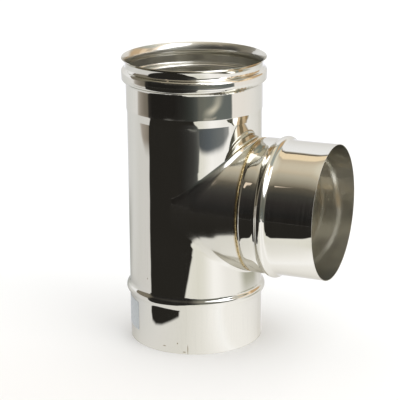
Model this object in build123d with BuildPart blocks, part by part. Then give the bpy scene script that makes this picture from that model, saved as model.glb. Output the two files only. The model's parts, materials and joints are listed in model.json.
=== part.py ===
from build123d import *
from math import radians, sin
import os

# Equal tee of a single-wall flue pipe, stainless sheet, in millimetres.
# The run stands on +Z with its socket up, and the branch points along +X.
# The origin is the centre of the lower spigot's open end.

# Sheet, and the standard pipe it is rolled for
wall = 0.5
spigot_radius = 60.5  # outside: a nominal 120 mm bore, with the wall on top
socket_clearance = 0.25  # gap all round a spigot inside the socket

# Overall
height = 260.0
branch_height = 129.5  # lower open end to the branch's axis
branch_reach = 132.0  # the run's axis to the branch's open end

# Stop bead, the rolled rib that ends each spigot
spigot_length = 41.4  # open end to the foot of the bead
stop_bead_width = 12.4
stop_bead_rise = 3.1

# Socket, from its lip down
lip_bend_radius = 9.0
lip_angle = 50.0  # how far the lip turns outward, in degrees
throat_rise = 0.35  # the throat under the lip stands this far outside the socket's wall
seal_groove_rise = 3.8
seal_groove_flat = 5.6
seal_groove_bend = 5.0  # length of the bend on each side of the flat
socket_depth = 44.4  # top of the lip to the end of the socket's straight wall
shoulder_flare = 6.4  # length of the hollow bend that widens the run
shoulder_corner = 0.6  # length of the tight bend back to upright, on top of the flare

# Neck drawn out of the run's wall for the branch
draw_step = 0.5  # the neck's radius is this much smaller than the run's
neck_fillet = 1.5
neck_land = 0.1  # straight wall past the fillet, where the neck is shortest

# Weld, and the branch stub that it holds
weld_width = 1.0
weld_crown = 0.2
swage_land = 0.5  # straight wall between the weld and the step up to the band
swage_length = 3.2
band_rise = 0.4  # the band between step and bead stands this far outside the spigot

# Sizes that follow from those
bead_end = spigot_length + stop_bead_width
shoulder_top = height - socket_depth
shoulder_bottom = shoulder_top - shoulder_flare - shoulder_corner
socket_radius = spigot_radius + socket_clearance + wall
throat_radius = socket_radius + throat_rise
groove_radius = socket_radius + seal_groove_rise
throat_height = height - (lip_bend_radius + wall) * sin(radians(lip_angle))
groove_top = throat_height - seal_groove_bend
groove_bottom = groove_top - seal_groove_flat
neck_radius = spigot_radius - draw_step
neck_edge = spigot_radius + neck_fillet + neck_land
stub_start = neck_edge + weld_width
swage_start = stub_start + swage_land
band_start = swage_start + swage_length
band_radius = spigot_radius + band_rise
branch_bead = branch_reach - spigot_length - stop_bead_width
branch_axis = Axis((0, 0, branch_height), (1, 0, 0))


def s_bend(start, end, along, first_share=0.5):
    """Steps the wall over to a parallel straight run, by two arcs that meet at first_share of the way."""
    meeting = Vector(*start) + (Vector(*end) - Vector(*start)) * first_share
    first = TangentArc(start, meeting, tangent=along)
    TangentArc(meeting, end, tangent=first % 1)


def run_outline():
    """The outside of the run from its lower end up: x is the radius, y is the height."""
    up = (0, 1)
    bead_crest = (spigot_radius + stop_bead_rise, spigot_length + stop_bead_width / 2)
    flare_share = shoulder_flare / (shoulder_flare + shoulder_corner)
    with BuildLine() as outline:
        Line((spigot_radius, 0), (spigot_radius, spigot_length))
        s_bend((spigot_radius, spigot_length), bead_crest, up)
        s_bend(bead_crest, (spigot_radius, bead_end), up)
        Line((spigot_radius, bead_end), (spigot_radius, shoulder_bottom))
        s_bend((spigot_radius, shoulder_bottom), (socket_radius, shoulder_top), up, flare_share)
        Line((socket_radius, shoulder_top), (socket_radius, groove_bottom - seal_groove_bend))
        s_bend((socket_radius, groove_bottom - seal_groove_bend), (groove_radius, groove_bottom), up)
        Line((groove_radius, groove_bottom), (groove_radius, groove_top))
        s_bend((groove_radius, groove_top), (throat_radius, throat_height), up)
        JernArc((throat_radius, throat_height), up, lip_bend_radius, -lip_angle)
    return outline.wire()


def run_form(inset):
    """The run and its drawn neck as one solid form: its outside, or its bore when inset is the wall."""
    outside = run_outline()
    inside = outside.offset_2d(wall, side=Side.LEFT, closed=False)
    rim = inside.vertices().sort_by(Axis.Y)[-1]
    with BuildPart() as form:
        with BuildSketch(Plane.XZ):
            with BuildLine():
                if inset:
                    add(inside)
                else:
                    add(outside)
                    Line(outside @ 1, rim)
                Polyline(rim, (0, height), (0, 0), (spigot_radius - inset, 0))
            make_face()
        revolve(axis=Axis.Z)
        with BuildSketch(Plane.YZ):
            with Locations((0, branch_height)):
                Circle(neck_radius - inset)
        extrude(amount=neck_edge)
        crease = form.edges(Select.NEW).filter_by(GeomType.BSPLINE)
        fillet(crease, neck_fillet + inset)
    return form.part


os.makedirs("parts", exist_ok=True)

# Run: one rolled tube with its socket, shoulder, stop bead and spigot, and the neck drawn out of its wall
outside_form = run_form(0)
bore_form = run_form(wall)
with BuildPart() as body_tube:
    add(outside_form)
    add(bore_form, mode=Mode.SUBTRACT)
body_tube.part.label = "body_tube"
export_step(body_tube.part, "parts/body_tube.step")

# Branch: a second rolled tube, swaged in at its inner end to meet the neck; x runs along the branch
with BuildPart() as branch_tube:
    with BuildSketch(Plane.XZ):
        with BuildLine():
            along = (1, 0)
            neck_top = branch_height + neck_radius
            band_top = branch_height + band_radius
            spigot_top = branch_height + spigot_radius
            bead_crest = (branch_bead + stop_bead_width / 2, spigot_top + stop_bead_rise)
            Line((stub_start, neck_top), (swage_start, neck_top))
            s_bend((swage_start, neck_top), (band_start, band_top), along)
            Line((band_start, band_top), (branch_bead, band_top))
            s_bend((branch_bead, band_top), bead_crest, along)
            s_bend(bead_crest, (branch_bead + stop_bead_width, spigot_top), along)
            Line((branch_bead + stop_bead_width, spigot_top), (branch_reach, spigot_top))
            offset(amount=wall, side=Side.RIGHT)
        make_face()
    revolve(axis=branch_axis)
branch_tube.part.label = "branch_tube"
export_step(branch_tube.part, "parts/branch_tube.step")

# Weld: the ring of fused metal between neck and branch, as thick as the wall, with a low crown outside
with BuildPart() as branch_weld:
    with BuildSketch(Plane.XZ):
        with BuildLine():
            weld_top = branch_height + neck_radius
            weld_root = weld_top - wall
            weld_middle = (neck_edge + stub_start) / 2
            crown_top = (weld_middle, weld_top + weld_crown)
            Line((stub_start, weld_top), (stub_start, weld_root))
            Line((stub_start, weld_root), (neck_edge, weld_root))
            Line((neck_edge, weld_root), (neck_edge, weld_top))
            ThreePointArc((neck_edge, weld_top), crown_top, (stub_start, weld_top))
        make_face()
    revolve(axis=branch_axis)
branch_weld.part.label = "branch_weld"
export_step(branch_weld.part, "parts/branch_weld.step")
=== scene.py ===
# %% [markdown]
# # A stainless pipe tee, finished for its photograph
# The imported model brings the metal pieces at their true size: the run with its socket, the branch, and the ring weld
# between them. This lesson gives them their finish, adds the few small things that are too fine for the model, and
# builds the studio whose reflections make polished metal look like metal.

# %% Load the frame
import json
from math import cos, pi, radians, sin, tan
import bpy
import bmesh
from mathutils import Matrix, Vector


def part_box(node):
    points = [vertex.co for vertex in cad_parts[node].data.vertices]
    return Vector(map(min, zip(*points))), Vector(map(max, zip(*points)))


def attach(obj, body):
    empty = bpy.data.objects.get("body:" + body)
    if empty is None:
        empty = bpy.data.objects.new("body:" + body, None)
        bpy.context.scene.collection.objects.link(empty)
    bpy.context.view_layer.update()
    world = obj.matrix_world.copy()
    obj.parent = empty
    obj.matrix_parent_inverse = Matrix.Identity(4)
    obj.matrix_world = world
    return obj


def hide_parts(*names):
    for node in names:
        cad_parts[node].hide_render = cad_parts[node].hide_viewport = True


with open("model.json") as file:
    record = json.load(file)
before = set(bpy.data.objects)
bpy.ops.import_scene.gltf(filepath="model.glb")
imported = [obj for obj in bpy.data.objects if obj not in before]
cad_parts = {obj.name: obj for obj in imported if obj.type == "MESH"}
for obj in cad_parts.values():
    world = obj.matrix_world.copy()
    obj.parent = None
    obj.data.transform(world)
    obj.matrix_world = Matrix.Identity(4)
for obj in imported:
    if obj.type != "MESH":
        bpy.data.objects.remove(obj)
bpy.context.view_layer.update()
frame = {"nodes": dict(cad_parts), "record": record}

nodes = frame["nodes"]
MM = 0.001
print("pieces from the model:", sorted(nodes))

# %% [markdown]
# ## The real sizes that the finish follows
# Everything that is added sits on the run or the branch, so its size comes from theirs. The run's radius is read
# from the mounts in the record, and the branch's axis lies level with the branch mount.

# %% Sizes read from the record
mounts = {mount["name"]: mount for mount in frame["record"]["mounts"]}
spigot_radius = mounts["lower_spigot"]["dims"]["r_mm"] * MM
branch_height = mounts["branch_spigot"]["pos_m"][2]
branch_reach = mounts["branch_spigot"]["pos_m"][0]
run_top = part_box("body_tube")[1][2]
weld_low, weld_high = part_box("branch_weld")
print("spigot radius", spigot_radius, "branch axis at", branch_height, "run top", run_top)

# %% [markdown]
# ## The camera
# A long lens stands a metre and a half away and looks down by 17 degrees, from the right of the run's front. The aim
# is a little off the run's axis and the horizon leans by half a degree, as in a hand-set shot.

# %% Set the camera
camera_turn = radians(23.04)
camera_rise = radians(17.02)
camera_distance = 1.436
camera_centre = Vector((0, 0, 0.125))
aim_right, aim_up = 0.00432, 0.00141
camera_roll = radians(-0.476)
lens_mm, film_mm = 141.92, 36.0

away = Vector((sin(camera_turn) * cos(camera_rise), -cos(camera_turn) * cos(camera_rise), sin(camera_rise)))
camera = bpy.data.objects.new("camera", bpy.data.cameras.new("camera"))
bpy.context.scene.collection.objects.link(camera)
camera.data.lens, camera.data.sensor_width = lens_mm, film_mm
camera.location = camera_centre + away * camera_distance
level = (-away).to_track_quat("-Z", "Y").to_matrix()
aim = camera_centre + level.col[0] * aim_right + level.col[1] * aim_up
look = (aim - camera.location).to_track_quat("-Z", "Y").to_matrix()
camera.rotation_euler = (look @ Matrix.Rotation(camera_roll, 3, "Z")).to_euler()
bpy.context.scene.camera = camera
bpy.context.scene.view_settings.view_transform = "Standard"
print("camera at", [round(v, 3) for v in camera.location])

# %% [markdown]
# ## Colours and nodes
# Colours are written as they look on a screen, in hex, and one function turns them to the linear values that shaders
# work in. One more function adds a node, with its settings and the values or links that go into it.

# %% Colour and node helpers
def paint(hex_colour):
    """Linear RGBA from an sRGB hex colour."""
    channels = [int(hex_colour[i : i + 2], 16) / 255 for i in (1, 3, 5)]
    return [c / 12.92 if c <= 0.04045 else ((c + 0.055) / 1.055) ** 2.4 for c in channels] + [1.0]


def add(tree, kind, inputs=None, **settings):
    """Adds a node. An input takes a plain value or another node's output."""
    made = tree.nodes.new(kind)
    for name, value in settings.items():
        setattr(made, name, value)
    for key, value in (inputs or {}).items():
        if isinstance(value, bpy.types.NodeSocket):
            tree.links.new(value, made.inputs[key])
        else:
            made.inputs[key].default_value = value
    return made


print("white paper is", [round(c, 3) for c in paint("#FAFAFA")])

# %% [markdown]
# ## What the metal sees
# Mirror-bright steel has hardly a look of its own: it shows the room. Seen by the tubes, the studio is a sheet of
# white paper that ends in front of a dark room, a large soft light at the right, a warm ceiling, a lamp tube, and
# wooden furniture far at the right. The floor and the world each carry their share of that picture, as soft-edged
# patches placed by compass angle (from the front, towards the branch) and by distance or height. Only reflections
# see the patches. The camera sees plain white paper with the object's own shadow.
#
# The patches are easiest to judge in the steel itself, so each colour is written as the steel shows it, and is
# divided by the steel's own colour.

# %% Build soft-edged patches
STEEL = "#D4D2C9"


def shown(hex_colour, strength=1.0):
    """The light that the steel turns into this colour."""
    return [c / s * strength for c, s in zip(paint(hex_colour)[:3], paint(STEEL)[:3])] + [1.0]


def rises(tree, value, at, width):
    """0 below at, 1 above it, over a soft edge that many units wide."""
    soft = {"Value": value, "From Min": -width / 2, "From Max": width / 2}
    if isinstance(at, bpy.types.NodeSocket):
        soft["Value"] = add(tree, "ShaderNodeMath", {0: value, 1: at}, operation="SUBTRACT").outputs[0]
    else:
        soft["From Min"], soft["From Max"] = at - width / 2, at + width / 2
    return add(tree, "ShaderNodeMapRange", soft, interpolation_type="SMOOTHSTEP").outputs[0]


def both(tree, first, *others):
    """Where all these masks are on."""
    for other in others:
        first = add(tree, "ShaderNodeMath", {0: first, 1: other}, operation="MULTIPLY").outputs[0]
    return first


def falls(tree, value, at, width):
    """1 below at, 0 above it."""
    return add(tree, "ShaderNodeMath", {0: 1.0, 1: rises(tree, value, at, width)}, operation="SUBTRACT").outputs[0]


def between(tree, value, low, high, soft):
    """On from low to high, with one softness for both edges."""
    return both(tree, rises(tree, value, low, soft), falls(tree, value, high, soft))


def lay(tree, under, mask, over):
    """Lays a colour over what is under it, where the mask is on."""
    return add(tree, "ShaderNodeMix", {0: mask, 6: under, 7: over}, data_type="RGBA").outputs[2]


def ramp(tree, value, stops):
    """Blends from stop to stop: {value: colour}."""
    low, high = min(stops), max(stops)
    place = {"Value": value, "From Min": low, "From Max": high}
    made = add(tree, "ShaderNodeValToRGB", {0: add(tree, "ShaderNodeMapRange", place).outputs[0]})
    points = made.color_ramp.elements
    while len(points) < len(stops):
        points.new(0.5)
    for point, at in zip(points, sorted(stops)):
        point.position = (at - low) / (high - low)
    for point, at in zip(points, sorted(stops)):
        point.color = stops[at]
    return made.outputs[0]


def outline(tree, value, stops):
    """A line through these points, as a number: {value: number above -180}."""
    raised = ramp(tree, value, {at: [stops[at] + 180.0] * 3 + [1.0] for at in stops})
    return add(tree, "ShaderNodeMath", {0: raised, 1: 180.0}, operation="SUBTRACT").outputs[0]


def compass(tree, across, forward):
    """Compass angle in degrees: 0 is the front, and it grows towards the branch."""
    front = add(tree, "ShaderNodeMath", {0: forward, 1: -1.0}, operation="MULTIPLY").outputs[0]
    turn = add(tree, "ShaderNodeMath", {0: across, 1: front}, operation="ARCTAN2").outputs[0]
    return add(tree, "ShaderNodeMath", {0: turn}, operation="DEGREES").outputs[0]


print("white shows in the steel as", [round(c, 3) for c in shown("#FFFFFF")])

# %% [markdown]
# ## The floor
# One plane of white paper. For reflections it carries the patches that lie on the table: paper lit more to the right,
# a painted shadow of the object at the left and under the branch, painted shade inside the run, the dark gap in front,
# and the ground behind the paper's far edge, which only the upper run sees.

# %% Paint the floor
def floor_material():
    """White paper for the camera, and the studio's ground for reflections."""
    made = bpy.data.materials.new("white_paper_floor")
    made.use_nodes = True
    tree = made.node_tree
    tree.nodes.clear()
    place = add(tree, "ShaderNodeNewGeometry").outputs["Position"]
    parts = add(tree, "ShaderNodeSeparateXYZ", {0: place})
    turn = compass(tree, parts.outputs[0], parts.outputs[1])
    reach = add(tree, "ShaderNodeVectorMath", {0: place}, operation="LENGTH").outputs["Value"]
    reach = add(tree, "ShaderNodeMath", {0: reach, 1: 1000.0}, operation="MULTIPLY").outputs[0]

    # Near the run the paper carries a painted shadow of the object at the left, and is painted brighter at the right,
    # towards the key light.
    near = {-180: "#D0CFCC", -110: "#C2C1BD", -90: "#BEBDB9", -75: "#CAC9C5", -55: "#D0CEC7", -25: "#D5D2CA", 8: "#D6D3C8"}
    near |= {30: "#E2DFD5", 45: "#EFECE4", 55: "#F5F3ED", 65: "#EEEBE3", 85: "#ECE9E1", 110: "#E8E5DE", 180: "#E8E7E5"}
    near = ramp(tree, turn, {at: shown(near[at]) for at in near})
    paper = {-180: "#E6E6E4", -140: "#E3E3E2", -112: "#DADAD6", -99: "#D7D6D1", -83: "#CCCAC3", -62: "#CBC8C1", 8: "#DEDBCF", 27: "#D8D5C7"}
    paper |= {36: "#DFDCD0", 50: "#F4F1EA", 57: "#F3F0E9", 72: "#E9E6DE", 100: "#E6E3DA", 180: "#DEDCD6"}
    paper = ramp(tree, turn, {at: shown(paper[at]) for at in paper})
    seen = lay(tree, near, rises(tree, reach, 185, 60), paper)
    shade = both(tree, between(tree, turn, -144, -114, 22), falls(tree, reach, 460, 260))
    seen = lay(tree, seen, shade, shown("#B6B7B1"))
    # Painted shadow of the branch on the paper beneath it.
    under = both(tree, between(tree, turn, 100, 138, 20), between(tree, reach, 190, 430, 90))
    seen = lay(tree, seen, under, shown("#A9A796"))
    # Painted shade on the paper inside the run, where little light gets in.
    painted_shade_inside_run = falls(tree, reach, 60, 4)
    seen = lay(tree, seen, painted_shade_inside_run, shown("#A09B88"))
    lit = both(tree, between(tree, turn, 52, 84, 14), between(tree, reach, 640, 900, 100))
    seen = lay(tree, seen, lit, shown("#F0EDE6"))

    brown_left = outline(tree, reach, {700: -66.0, 870: -80.0})
    brown = both(tree, rises(tree, turn, brown_left, 8), falls(tree, turn, -55, 3), rises(tree, reach, 745, 130))
    seen = lay(tree, seen, brown, ramp(tree, turn, {-80: shown("#A69D92"), -66: shown("#8F8679"), -58: shown("#7D7468")}))
    edge = outline(tree, turn, {27: 800.0, 34: 768.0, 42: 750.0, 52: 740.0, 62: 740.0, 70: 752.0, 76: 776.0, 80: 815.0})
    past = both(tree, between(tree, turn, 26, 81, 4), rises(tree, reach, edge, 62))
    blob = {30: shown("#4A4D4D"), 45: shown("#555A5C"), 58: shown("#646867"), 70: shown("#6E706E"), 77: shown("#8C8C88")}
    seen = lay(tree, seen, past, ramp(tree, turn, blob))

    far = {-180: "#EBEBEA", -143: "#EBEBEB", -122: "#DEDEDB", -103: "#D8D7D2", -85: "#D8D5CF", -81: "#A59E93", -75: "#8E867A", -66: "#766E62", -59.5: "#6E675B"}
    far |= {-57: "#2F2C28", -50: "#1F1D1A", -10: "#1F1D1A", 3: "#262522", 12: "#2E2F2B", 20: "#3A3C38", 27: "#4B4D48"}
    far |= {31: "#626259", 40: "#68695F", 62: "#646862", 84: "#606460", 85.7: "#646862", 87.5: "#E5DED4", 110: "#E2DCD2", 157: "#DFDED8", 175: "#EAE9E7"}
    far = ramp(tree, turn, {at: shown(far[at]) for at in far})
    glow_turn = add(tree, "ShaderNodeMath", {0: turn, 1: 54.0}, operation="SUBTRACT").outputs[0]
    glow_lean = add(tree, "ShaderNodeMath", {0: glow_turn, 1: 3.0}, operation="MULTIPLY").outputs[0]
    glow_reach = add(tree, "ShaderNodeMath", {0: reach, 1: 1012.0}, operation="SUBTRACT").outputs[0]
    glow_reach = add(tree, "ShaderNodeMath", {0: glow_reach, 1: glow_lean}, operation="SUBTRACT").outputs[0]
    glow_turn = add(tree, "ShaderNodeMath", {0: glow_turn, 1: 13.5}, operation="DIVIDE").outputs[0]
    glow_reach = add(tree, "ShaderNodeMath", {0: glow_reach, 1: 46.0}, operation="DIVIDE").outputs[0]
    off = add(tree, "ShaderNodeCombineXYZ", {0: glow_turn, 1: glow_reach}).outputs[0]
    off = add(tree, "ShaderNodeVectorMath", {0: off}, operation="LENGTH").outputs["Value"]
    far = lay(tree, far, falls(tree, off, 0.7, 1.8), shown("#C6C0AC"))
    line = both(tree, between(tree, turn, 38, 58, 6), between(tree, reach, 918, 932, 10))
    far = lay(tree, far, line, shown("#AAA596"))
    seen = lay(tree, seen, rises(tree, reach, 893, 20), far)

    left = outline(tree, reach, {150: -46.0, 200: -50.5, 250: -53.0, 300: -54.5, 400: -56.3, 620: -57.6, 880: -58.4})
    right = outline(tree, reach, {165: -1.0, 200: 6.5, 250: 10.5, 300: 13.8, 375: 21.5, 620: 28.0, 780: 29.8})
    front = outline(tree, turn, {-47: 150.0, -41: 124.0, -34: 117.0, -25: 122.0, -12: 138.0, 0: 153.0})
    gap = both(tree, rises(tree, turn, left, 2.2), falls(tree, turn, right, 3.0), rises(tree, reach, front, 12))
    gap = both(tree, gap, falls(tree, reach, 893, 20))
    dark = {-58: "#34302B", -52: "#282521", -45: "#211E1B", -15: "#211F1C", 0: "#262421", 10: "#2D2C29", 20: "#3A3936"}
    dark |= {25: "#484844", 29: "#5F5F5A"}
    dark = ramp(tree, turn, {at: shown(dark[at]) for at in dark})
    dark = lay(tree, shown("#25231F"), both(tree, rises(tree, reach, 480, 160), rises(tree, turn, 0, 20)), dark)
    seen = lay(tree, seen, gap, dark)

    reflected = add(tree, "ShaderNodeEmission", {"Color": seen})
    # For the camera the paper is painted a little darker towards the front, as painted shade.
    paper_painted_darker_to_front = ramp(tree, parts.outputs[1], {-0.34: paint("#EBE9E5"), -0.16: paint("#F3F1EE"), 0.12: paint("#FBFBFA")})
    matte = add(tree, "ShaderNodeBsdfDiffuse", {"Color": paper_painted_darker_to_front})
    ray = add(tree, "ShaderNodeLightPath").outputs["Is Glossy Ray"]
    mixed = add(tree, "ShaderNodeMixShader", {0: ray, 1: matte.outputs[0], 2: reflected.outputs[0]})
    add(tree, "ShaderNodeOutputMaterial", {0: mixed.outputs[0]})
    return made


half = 6.0
floor_mesh = bpy.data.meshes.new("floor")
floor_mesh.from_pydata([(-half, -half, 0), (half, -half, 0), (half, half, 0), (-half, half, 0)], [], [(0, 1, 2, 3)])
floor = bpy.data.objects.new("floor", floor_mesh)
bpy.context.scene.collection.objects.link(floor)
floor.data.materials.append(floor_material())
print("floor", 2 * half, "m square")

# %% [markdown]
# ## The room above the floor
# The world shows reflections the room, and gives everything else an even white light.

# %% Paint the room
def room():
    """Patches of the room for reflections, and even white light for the rest."""
    world = bpy.data.worlds.new("studio_room")
    bpy.context.scene.world = world
    world.use_nodes = True
    tree = world.node_tree
    tree.nodes.clear()
    ray = add(tree, "ShaderNodeTexCoord").outputs["Generated"]
    parts = add(tree, "ShaderNodeSeparateXYZ", {0: ray})
    turn = compass(tree, parts.outputs[0], parts.outputs[1])
    rise = add(tree, "ShaderNodeMath", {0: parts.outputs[2]}, operation="ARCSINE").outputs[0]
    rise = add(tree, "ShaderNodeMath", {0: rise}, operation="DEGREES").outputs[0]

    front = {-20: "#1F1D1A", 4: "#1F1E1C", 22: "#2C2926", 36: "#3C3A34", 47.5: "#5A5447", 50: "#78705F", 53: "#877F6E"}
    front |= {58: "#9A9380", 64: "#ADA591", 68: "#B8AD95", 75: "#CDC5AF", 90: "#D7D0BE"}
    seen = ramp(tree, rise, {at: shown(front[at]) for at in front})
    side = {-20: "#6E675B", 15: "#756E5F", 45: "#6C6757", 56: "#8F8670", 64: "#B4A98F", 68: "#BEB097", 75: "#CDC5AF", 90: "#D7D0BE"}
    side = ramp(tree, rise, {at: shown(side[at]) for at in side})
    seen = lay(tree, seen, falls(tree, turn, -60, 12), side)
    grey = {-20: "#5E5F57", 8: "#66665B", 20: "#78756A", 35: "#8E8A7C", 50: "#A8A290", 66: "#D6D0BE", 90: "#D8D2C2"}
    grey = ramp(tree, rise, {at: shown(grey[at]) for at in grey})
    seen = lay(tree, seen, rises(tree, turn, 22, 26), grey)
    wall = {-20: "#E6E0D8", 8: "#DAD4C8", 22: "#B8AE98", 34: "#96988E", 48: "#949C94", 56: "#D2CBB4", 90: "#D8D2BE"}
    wall = ramp(tree, rise, {at: shown(wall[at]) for at in wall})
    seen = lay(tree, seen, rises(tree, turn, 92, 10), wall)
    wood = both(tree, between(tree, turn, 122, 157, 10), between(tree, rise, 2, 38, 10))
    seen = lay(tree, seen, wood, shown("#BE9F76"))
    shelf = both(tree, between(tree, turn, 98, 127, 4), between(tree, rise, 6, 34, 5))
    seen = lay(tree, seen, shelf, shown("#EFD6B3"))
    drawer = both(tree, between(tree, turn, 98.5, 112, 3), between(tree, rise, 14, 33, 4))
    seen = lay(tree, seen, drawer, shown("#94866C"))
    tan = both(tree, falls(tree, turn, -122, 24), between(tree, rise, 55.5, 66, 3))
    seen = lay(tree, seen, tan, shown("#E8D3AF"))
    rail = both(tree, falls(tree, turn, -126, 16), between(tree, rise, 53.2, 55.3, 1.0))
    seen = lay(tree, seen, rail, shown("#5F5549"))
    back_edge = outline(tree, turn, {-180: 52.0, -152: 52.0, -120: 34.0, -96: 16.0, -84: -16.0})
    back = both(tree, falls(tree, turn, -86, 14), falls(tree, rise, back_edge, 5))
    seen = lay(tree, seen, back, shown("#EAE9E6"))
    back_right = both(tree, rises(tree, turn, 162, 8), falls(tree, rise, 50, 5))
    seen = lay(tree, seen, back_right, shown("#EAE7E1"))
    tube = both(tree, between(tree, turn, -33.4, -28.6, 1.0), between(tree, rise, 38.5, 47.5, 1.5))
    seen = lay(tree, seen, tube, shown("#E0CDB4"))
    box_low = outline(tree, turn, {24: 62.0, 40: 37.0, 60: 25.0, 72: 14.0, 90: 12.0})
    softbox = both(tree, between(tree, turn, 28, 90, 8), rises(tree, rise, box_low, 8), falls(tree, rise, 66, 8))
    seen = lay(tree, seen, softbox, shown("#FFFFFC", 2.2))
    cream = both(tree, between(tree, turn, 87, 98, 4), between(tree, rise, 17, 52, 6))
    seen = lay(tree, seen, cream, shown("#FCE0BC"))

    visible = add(tree, "ShaderNodeBackground", {0: seen, 1: 1.0})
    fill = add(tree, "ShaderNodeBackground", {0: [1.0, 1.0, 1.0, 1.0], 1: 1.08})
    glossy = add(tree, "ShaderNodeLightPath").outputs["Is Glossy Ray"]
    mixed = add(tree, "ShaderNodeMixShader", {0: glossy, 1: fill.outputs[0], 2: visible.outputs[0]})
    add(tree, "ShaderNodeOutputWorld", {0: mixed.outputs[0]})


room()
print("room painted")

# %% [markdown]
# ## The key light
# One large soft lamp at the right of the front casts the soft shadow on the paper at the left. Reflections already
# see it as a patch of the room, so the lamp itself is hidden from them.

# %% Hang the key light
key = bpy.data.objects.new("key_light", bpy.data.lights.new("key_light", "AREA"))
key.data.shape, key.data.size, key.data.energy = "SQUARE", 1.2, 8.0
key_turn, key_rise, key_distance = radians(72), radians(42), 2.0
key_aim = Vector((0, 0, 0.1))
key_from = Vector((sin(key_turn) * cos(key_rise), -cos(key_turn) * cos(key_rise), sin(key_rise)))
key.location = key_aim + key_from * key_distance
key.rotation_euler = (-key_from).to_track_quat("-Z", "Y").to_euler()
key.visible_glossy = False
bpy.context.scene.collection.objects.link(key)
print("key light", key.data.energy, "W")

# %% [markdown]
# ## Bright-annealed stainless steel
# The sheet is rolled between polished rolls and annealed in clean gas, so it leaves the mill like a mirror. Steel is
# a metal, so its colour is the colour of its reflections: a light grey with a touch of yellow, which grows to khaki
# inside the tubes, where light bounces several times.

# %% Make the sheet's material
def length_of(tree, first, second):
    """Length of the two coordinates taken together."""
    pair = add(tree, "ShaderNodeCombineXYZ", {0: first, 1: second}).outputs[0]
    return add(tree, "ShaderNodeVectorMath", {0: pair}, operation="LENGTH").outputs["Value"]


def facing(tree, normal, outward):
    """Above 0 where the surface faces outward."""
    return add(tree, "ShaderNodeVectorMath", {0: normal, 1: outward}, operation="DOT_PRODUCT").outputs["Value"]


def above(tree, value, limit):
    """1 above the limit, 0 below it."""
    return add(tree, "ShaderNodeMath", {0: value, 1: limit}, operation="GREATER_THAN").outputs[0]


def opposite(tree, mask):
    """The mask turned round."""
    return add(tree, "ShaderNodeMath", {0: 1.0, 1: mask}, operation="SUBTRACT").outputs[0]


def either(tree, first, second):
    """Where one of the masks is on."""
    return add(tree, "ShaderNodeMath", {0: first, 1: second}, operation="MAXIMUM").outputs[0]


def blend(tree, mask, off, on):
    """A number that goes from off to on with the mask."""
    return add(tree, "ShaderNodeMapRange", {"Value": mask, "To Min": off, "To Max": on}).outputs[0]


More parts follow.
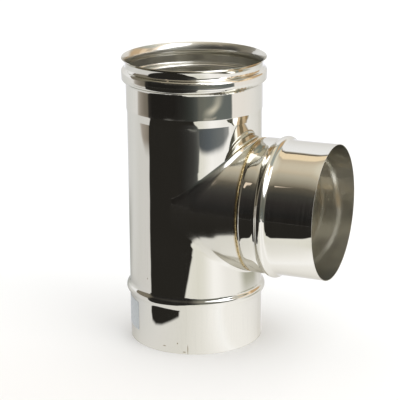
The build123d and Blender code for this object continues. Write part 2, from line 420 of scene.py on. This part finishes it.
def bright_stainless():
    """Mirror-bright stainless sheet, satin where it was stretched or is seen from inside."""
    made = bpy.data.materials.new("bright_annealed_stainless")
    made.use_nodes = True
    tree = made.node_tree
    shader = tree.nodes["Principled BSDF"]
    shader.inputs["Metallic"].default_value = 1.0
    shader.inputs["Base Color"].default_value = paint(STEEL)
    shader.inputs["Specular Tint"].default_value = paint("#DAD8D2")

    surface = add(tree, "ShaderNodeNewGeometry")
    place, normal = surface.outputs["Position"], surface.outputs["Normal"]
    x, y, z = add(tree, "ShaderNodeSeparateXYZ", {0: place}).outputs
    lift = add(tree, "ShaderNodeMath", {0: z, 1: branch_height}, operation="SUBTRACT").outputs[0]
    from_branch = length_of(tree, y, lift)
    run_out = add(tree, "ShaderNodeCombineXYZ", {0: x, 1: y}).outputs[0]
    branch_out = add(tree, "ShaderNodeCombineXYZ", {1: y, 2: lift}).outputs[0]
    neck = both(tree, above(tree, x, 0.002), opposite(tree, above(tree, from_branch, spigot_radius + 0.7 * MM)))
    on_branch = either(tree, neck, above(tree, x, weld_low[0]))
    on_branch = both(tree, on_branch, opposite(tree, above(tree, from_branch, spigot_radius + 8 * MM)))
    faces_out = add(tree, "ShaderNodeMix", {0: on_branch, 2: facing(tree, normal, run_out), 3: facing(tree, normal, branch_out)})
    inside = opposite(tree, above(tree, faces_out.outputs[0], 0.0))

    stretched = both(tree, neck, opposite(tree, above(tree, x, weld_low[0])))
    rough = blend(tree, stretched, 0.03, 0.14)
    rough = add(tree, "ShaderNodeMix", {0: inside, 2: rough, 3: 0.07}).outputs[0]
    tree.links.new(rough, shader.inputs["Roughness"])

    # The drawn crease: near it, each wall's normal leans over to its neighbour's
    from_run = length_of(tree, x, y)
    past_run = add(tree, "ShaderNodeMath", {0: from_run, 1: spigot_radius}, operation="SUBTRACT").outputs[0]
    past_neck = add(tree, "ShaderNodeMath", {0: from_branch, 1: spigot_radius - 0.5 * MM}, operation="SUBTRACT").outputs[0]
    aside = add(tree, "ShaderNodeMath", {0: y}, operation="ABSOLUTE").outputs[0]
    lean_width = {"Value": aside, "From Max": 55 * MM, "To Min": 1.4 * MM, "To Max": 4.0 * MM}
    lean_width = add(tree, "ShaderNodeMapRange", lean_width).outputs[0]
    run_share = {"Value": past_run, "From Max": lean_width, "To Min": 1.0, "To Max": 0.0}
    run_share = add(tree, "ShaderNodeMapRange", run_share, interpolation_type="SMOOTHSTEP").outputs[0]
    neck_share = {"Value": past_neck, "From Max": lean_width, "To Min": 1.0, "To Max": 0.0}
    neck_share = add(tree, "ShaderNodeMapRange", neck_share, interpolation_type="SMOOTHSTEP").outputs[0]
    run_way = add(tree, "ShaderNodeVectorMath", {0: run_out}, operation="NORMALIZE").outputs[0]
    run_way = add(tree, "ShaderNodeVectorMath", {0: run_way, "Scale": run_share}, operation="SCALE").outputs[0]
    neck_way = add(tree, "ShaderNodeVectorMath", {0: branch_out}, operation="NORMALIZE").outputs[0]
    neck_way = add(tree, "ShaderNodeVectorMath", {0: neck_way, "Scale": neck_share}, operation="SCALE").outputs[0]
    leaned = add(tree, "ShaderNodeVectorMath", {0: run_way, 1: neck_way}, operation="ADD").outputs[0]
    leaned = add(tree, "ShaderNodeVectorMath", {0: leaned}, operation="NORMALIZE").outputs[0]
    at_crease = both(tree, above(tree, x, 3 * MM), opposite(tree, above(tree, x, weld_low[0] - 0.1 * MM)))
    at_crease = both(tree, at_crease, opposite(tree, inside), opposite(tree, above(tree, from_branch, spigot_radius + 7 * MM)))
    at_crease = both(tree, at_crease, opposite(tree, above(tree, from_run, spigot_radius + 7 * MM)))
    shaped = add(tree, "ShaderNodeMix", {0: at_crease, 4: normal, 5: leaned}, data_type="VECTOR").outputs[1]

    # Small slopes along the branch: the neck narrows to its weld, and the spigot's end is nosed in
    narrowing = {"Value": x, "From Min": 36 * MM, "From Max": 48 * MM, "To Max": tan(radians(4.5))}
    narrowing = add(tree, "ShaderNodeMapRange", narrowing, interpolation_type="SMOOTHSTEP").outputs[0]
    narrowing = both(tree, narrowing, stretched)
    nose = {"Value": x, "From Min": branch_reach - 10 * MM, "From Max": branch_reach, "To Max": tan(radians(5.0))}
    nose = add(tree, "ShaderNodeMapRange", nose).outputs[0]
    nose = both(tree, nose, nose)
    nose = add(tree, "ShaderNodeMath", {0: nose, 1: 1 / tan(radians(5.0))}, operation="MULTIPLY").outputs[0]
    slopes = add(tree, "ShaderNodeMath", {0: narrowing, 1: nose}).outputs[0]
    foot = {"Value": x, "From Min": branch_reach - 41.4 * MM, "From Max": branch_reach - 36.5 * MM, "To Min": 0.07}
    foot["To Max"] = 0.0
    foot = add(tree, "ShaderNodeMapRange", foot, interpolation_type="SMOOTHSTEP").outputs[0]
    foot = both(tree, foot, above(tree, x, branch_reach - 41.6 * MM))
    slopes = add(tree, "ShaderNodeMath", {0: slopes, 1: foot}).outputs[0]
    crown = {"Value": x, "From Min": 65.4 * MM, "From Max": 78.2 * MM, "To Min": -1.0, "To Max": 1.0}
    crown = add(tree, "ShaderNodeMapRange", crown).outputs[0]
    crown = both(tree, crown, crown, crown)
    on_band = both(tree, above(tree, x, 65.3 * MM), opposite(tree, above(tree, x, 78.2 * MM)))
    crown = both(tree, crown, on_band)
    crown = add(tree, "ShaderNodeMath", {0: crown, 1: 0.13}, operation="MULTIPLY").outputs[0]
    slopes = add(tree, "ShaderNodeMath", {0: slopes, 1: crown}).outputs[0]
    slopes = both(tree, slopes, opposite(tree, inside))
    slopes = add(tree, "ShaderNodeCombineXYZ", {0: slopes}).outputs[0]
    shaped = add(tree, "ShaderNodeVectorMath", {0: shaped, 1: slopes}, operation="ADD").outputs[0]
    shaped = add(tree, "ShaderNodeVectorMath", {0: shaped}, operation="NORMALIZE").outputs[0]

    # The foot's bead and the socket's groove are rolled softer than their outlines: upright slopes change
    on_bead = both(tree, above(tree, z, 41.4 * MM), opposite(tree, above(tree, z, 54 * MM)))
    across_x, across_y, upward = add(tree, "ShaderNodeSeparateXYZ", {0: shaped}).outputs
    upward = both(tree, upward, blend(tree, both(tree, on_bead, opposite(tree, inside)), 1.0, 0.5))
    crest = {"Value": z, "From Min": run_top - 17.6 * MM, "From Max": run_top - 12.0 * MM, "To Min": -0.12, "To Max": 0.12}
    crest = add(tree, "ShaderNodeMapRange", crest).outputs[0]
    on_crest = both(tree, above(tree, z, run_top - 17.7 * MM), opposite(tree, above(tree, z, run_top - 11.9 * MM)))
    upward = add(tree, "ShaderNodeMath", {0: upward, 1: both(tree, crest, on_crest, opposite(tree, inside))}).outputs[0]
    shaped = add(tree, "ShaderNodeCombineXYZ", {0: across_x, 1: across_y, 2: upward}).outputs[0]

    # Rolling leaves the sheet a hair's breadth from flat, which bends the edges of what it mirrors
    waves = add(tree, "ShaderNodeTexNoise", {"Vector": place, "Scale": 38.0, "Detail": 1.0})
    waves = add(tree, "ShaderNodeVectorMath", {0: waves.outputs["Color"], 1: (0.5, 0.5, 0.5)}, operation="SUBTRACT")
    waves = add(tree, "ShaderNodeVectorMath", {0: waves.outputs[0], "Scale": 0.024}, operation="SCALE").outputs[0]
    shaped = add(tree, "ShaderNodeVectorMath", {0: shaped, 1: waves}, operation="ADD").outputs[0]
    shaped = add(tree, "ShaderNodeVectorMath", {0: shaped}, operation="NORMALIZE").outputs[0]
    tree.links.new(shaped, shader.inputs["Normal"])

    # Rolling streaks: along the run's height, and round the branch, one every millimetre or two
    behind = add(tree, "ShaderNodeMath", {0: y, 1: -1.0}, operation="MULTIPLY").outputs[0]
    run_turn = add(tree, "ShaderNodeMath", {0: x, 1: behind}, operation="ARCTAN2").outputs[0]
    branch_turn = add(tree, "ShaderNodeMath", {0: behind, 1: lift}, operation="ARCTAN2").outputs[0]
    run_lines = add(tree, "ShaderNodeCombineXYZ", {0: run_turn, 1: both(tree, z, 0.35)}).outputs[0]
    branch_lines = add(tree, "ShaderNodeCombineXYZ", {0: both(tree, x, 16.5), 1: both(tree, branch_turn, 0.02)}).outputs[0]
    lines = add(tree, "ShaderNodeMix", {0: on_branch, 4: run_lines, 5: branch_lines}, data_type="VECTOR").outputs[1]
    streaks = add(tree, "ShaderNodeTexNoise", {"Vector": lines, "Scale": 48.0, "Detail": 3.0, "Roughness": 0.7})
    streaks = rises(tree, streaks.outputs[0], 0.58, 0.3)
    cloud = add(tree, "ShaderNodeTexNoise", {"Vector": place, "Scale": 22.0, "Detail": 3.0}).outputs[0]
    streaks = both(tree, streaks, rises(tree, cloud, 0.5, 0.5))

    # Small marks of handling, each at its place: turn, height and half sizes
    marked = 0.0
    for mark_turn, mark_height, half_turn, half_height in MARKS:
        beside = add(tree, "ShaderNodeMath", {0: run_turn, 1: radians(mark_turn)}, operation="SUBTRACT").outputs[0]
        over = add(tree, "ShaderNodeMath", {0: z, 1: mark_height * MM}, operation="SUBTRACT").outputs[0]
        beside = add(tree, "ShaderNodeMath", {0: beside, 1: radians(half_turn)}, operation="DIVIDE").outputs[0]
        over = add(tree, "ShaderNodeMath", {0: over, 1: half_height * MM}, operation="DIVIDE").outputs[0]
        spot = falls(tree, length_of(tree, beside, over), 0.8, 0.6)
        marked = either(tree, marked, spot)
    marked = both(tree, marked, opposite(tree, inside), opposite(tree, on_branch))

    # Beside the weld the heat left a straw tint, and inside the light that bounces about looks khaki
    beside_weld = add(tree, "ShaderNodeMath", {0: x, 1: (weld_low[0] + weld_high[0]) / 2}, operation="SUBTRACT").outputs[0]
    beside_weld = add(tree, "ShaderNodeMath", {0: beside_weld}, operation="ABSOLUTE").outputs[0]
    straw = both(tree, falls(tree, beside_weld, 1.6 * MM, 2.2 * MM), on_branch)
    tone = lay(tree, paint(STEEL), both(tree, straw, 0.8), paint("#B9A578"))
    tone = lay(tree, tone, both(tree, marked, 0.75), paint("#8C7F62"))
    tree.links.new(tone, shader.inputs["Base Color"])

    # A share of the light is scattered wide: a little on streaks and marks, more on the unpolished inside
    haze = add(tree, "ShaderNodeBsdfPrincipled", {"Metallic": 1.0, "Roughness": 0.38, "Normal": shaped, "Base Color": tone})
    haze.inputs["Specular Tint"].default_value = paint("#DAD8D2")
    scattered = either(tree, both(tree, streaks, 0.05), both(tree, marked, 0.6))
    scattered = either(tree, scattered, both(tree, inside, 0.5))
    surface_mix = add(tree, "ShaderNodeMixShader", {0: scattered, 1: shader.outputs[0], 2: haze.outputs[0]})
    tree.links.new(surface_mix.outputs[0], tree.nodes["Material Output"].inputs[0])
    return made


MARKS = [(15.5, 4.5, 0.5, 5.2), (12.5, 2.0, 1.6, 0.7), (-5.5, 6.0, 1.8, 0.6), (6.6, 9.8, 0.7, 1.0), (-22.9, 66.2, 0.45, 1.1)]


sheet = bright_stainless()
for name in ("body_tube", "branch_tube"):
    nodes[name].data.materials.clear()
    nodes[name].data.materials.append(sheet)
print("sheet material on both tubes")

# %% [markdown]
# ## The ring weld
# A welder's torch leaves a row of overlapping half-moon ripples, about one each millimetre. The model's plain ring
# stays as the collision shape, and this rippled bead stands for it.

# %% Lay the rippled bead
def ripple_ring(name, middle, half_width, low, crown, ripples, steps=6, across=9):
    """A closed ring about the branch's axis: a crowned bead whose ripples trail back at its edges."""
    mesh = bmesh.new()
    rows = []
    count = ripples * steps
    for i in range(count):
        row = []
        for j in range(across):
            side = -1 + 2 * j / (across - 1)
            trail = 0.9 * side * side
            phase = (i / steps + trail) % 1.0
            swell = 0.72 + 0.28 * (1 - phase) ** 1.5
            height = crown * swell * (1 - side * side) ** 0.5
            wander = 0.1 * MM * sin(2 * pi * i / count * 23) + 0.06 * MM * sin(2 * pi * i / count * 61)
            radius = low + height
            turn = 2 * pi * i / count
            row.append(mesh.verts.new((middle + side * half_width + wander, -radius * sin(turn), branch_height + radius * cos(turn))))
        back = []
        for j in (across - 1, 0):
            side = -1 + 2 * j / (across - 1)
            radius = low - 0.5 * MM
            turn = 2 * pi * i / count
            back.append(mesh.verts.new((middle + side * half_width, -radius * sin(turn), branch_height + radius * cos(turn))))
        rows.append(row + back)
    for i in range(count):
        here, following = rows[i], rows[(i + 1) % count]
        for j in range(len(here)):
            k = (j + 1) % len(here)
            mesh.faces.new((here[j], here[k], following[k], following[j]))
    bmesh.ops.recalc_face_normals(mesh, faces=mesh.faces)
    made = bpy.data.objects.new(name, bpy.data.meshes.new(name))
    mesh.to_mesh(made.data)
    mesh.free()
    made.data.polygons.foreach_set("use_smooth", [True] * len(made.data.polygons))
    bpy.context.scene.collection.objects.link(made)
    return made


def tinted_weld():
    """Weld metal with straw, brown and pale grains."""
    made = bpy.data.materials.new("straw_tinted_weld")
    made.use_nodes = True
    tree = made.node_tree
    shader = tree.nodes["Principled BSDF"]
    place = add(tree, "ShaderNodeNewGeometry").outputs["Position"]
    grains = add(tree, "ShaderNodeTexNoise", {"Vector": place, "Scale": 900.0, "Detail": 2.0}).outputs[0]
    stops = {0.3: paint("#4E4230"), 0.45: paint("#A08C60"), 0.58: paint("#C7B281"), 0.72: paint("#E3D6B4")}
    tree.links.new(ramp(tree, grains, stops), shader.inputs["Base Color"])
    shader.inputs["Metallic"].default_value = 1.0
    shader.inputs["Roughness"].default_value = 0.34
    bump = add(tree, "ShaderNodeBump", {"Height": grains, "Strength": 0.5, "Distance": 0.0001})
    tree.links.new(bump.outputs[0], shader.inputs["Normal"])
    return made


weld_middle = (weld_low[0] + weld_high[0]) / 2
weld_ring = ripple_ring("weld_ring", weld_middle, 0.7 * MM, spigot_radius - 0.5 * MM, 0.4 * MM, 330)
weld_ring.data.materials.append(tinted_weld())
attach(weld_ring, "root")
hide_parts("branch_weld")
weld_grey = bpy.data.materials.new("plain_weld_metal")
weld_grey.use_nodes = True
nodes["branch_weld"].data.materials.clear()
nodes["branch_weld"].data.materials.append(weld_ring.data.materials[0])
print("weld ring", len(weld_ring.data.polygons), "faces")

# %% [markdown]
# ## The blank sticker
# A small paper sticker with nothing on it goes round the left of the lower spigot, a tenth of a millimetre thick.

# %% Stick the blank label
def curved_patch(name, turn_from, turn_to, low, high, radius, thick, corner):
    """A thin rectangle with rounded corners, bent round the run: degrees from the front, then metres."""
    across = 48
    mesh = bmesh.new()
    columns = []
    arc = radius * radians(abs(turn_to - turn_from))
    for i in range(across + 1):
        along = arc * i / across
        nearest = min(along, arc - along)
        cut = corner - (corner**2 - (corner - nearest) ** 2) ** 0.5 if nearest < corner else 0.0
        turn = radians(turn_from + (turn_to - turn_from) * i / across)
        column = []
        for r, height in ((radius, low + cut), (radius + thick, low + cut), (radius + thick, high - cut), (radius, high - cut)):
            column.append(mesh.verts.new((r * sin(turn), -r * cos(turn), height)))
        columns.append(column)
    for here, following in zip(columns, columns[1:]):
        for j in range(4):
            k = (j + 1) % 4
            mesh.faces.new((here[j], here[k], following[k], following[j]))
    mesh.faces.new(columns[0])
    mesh.faces.new(columns[-1])
    bmesh.ops.recalc_face_normals(mesh, faces=mesh.faces)
    made = bpy.data.objects.new(name, bpy.data.meshes.new(name))
    mesh.to_mesh(made.data)
    mesh.free()
    bpy.context.scene.collection.objects.link(made)
    return made


def satin_paper():
    """Coated paper, faintly mottled, in a cool mid grey."""
    made = bpy.data.materials.new("satin_paper_sticker")
    made.use_nodes = True
    tree = made.node_tree
    shader = tree.nodes["Principled BSDF"]
    place = add(tree, "ShaderNodeNewGeometry").outputs["Position"]
    fibres = add(tree, "ShaderNodeTexNoise", {"Vector": place, "Scale": 420.0, "Detail": 4.0}).outputs[0]
    tone = ramp(tree, fibres, {0.3: paint("#A4A9AB"), 0.7: paint("#B7BBBB")})
    tree.links.new(tone, shader.inputs["Base Color"])
    shader.inputs["Roughness"].default_value = 0.42
    bump = add(tree, "ShaderNodeBump", {"Height": fibres, "Strength": 0.15, "Distance": 0.0001})
    tree.links.new(bump.outputs[0], shader.inputs["Normal"])
    return made


label = curved_patch("blank_label", -36.5, -76.0, 12.5 * MM, 39.5 * MM, spigot_radius + 0.02 * MM, 0.1 * MM, 0.8 * MM)
label.data.materials.append(satin_paper())
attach(label, "root")
print("label", len(label.data.polygons), "faces")
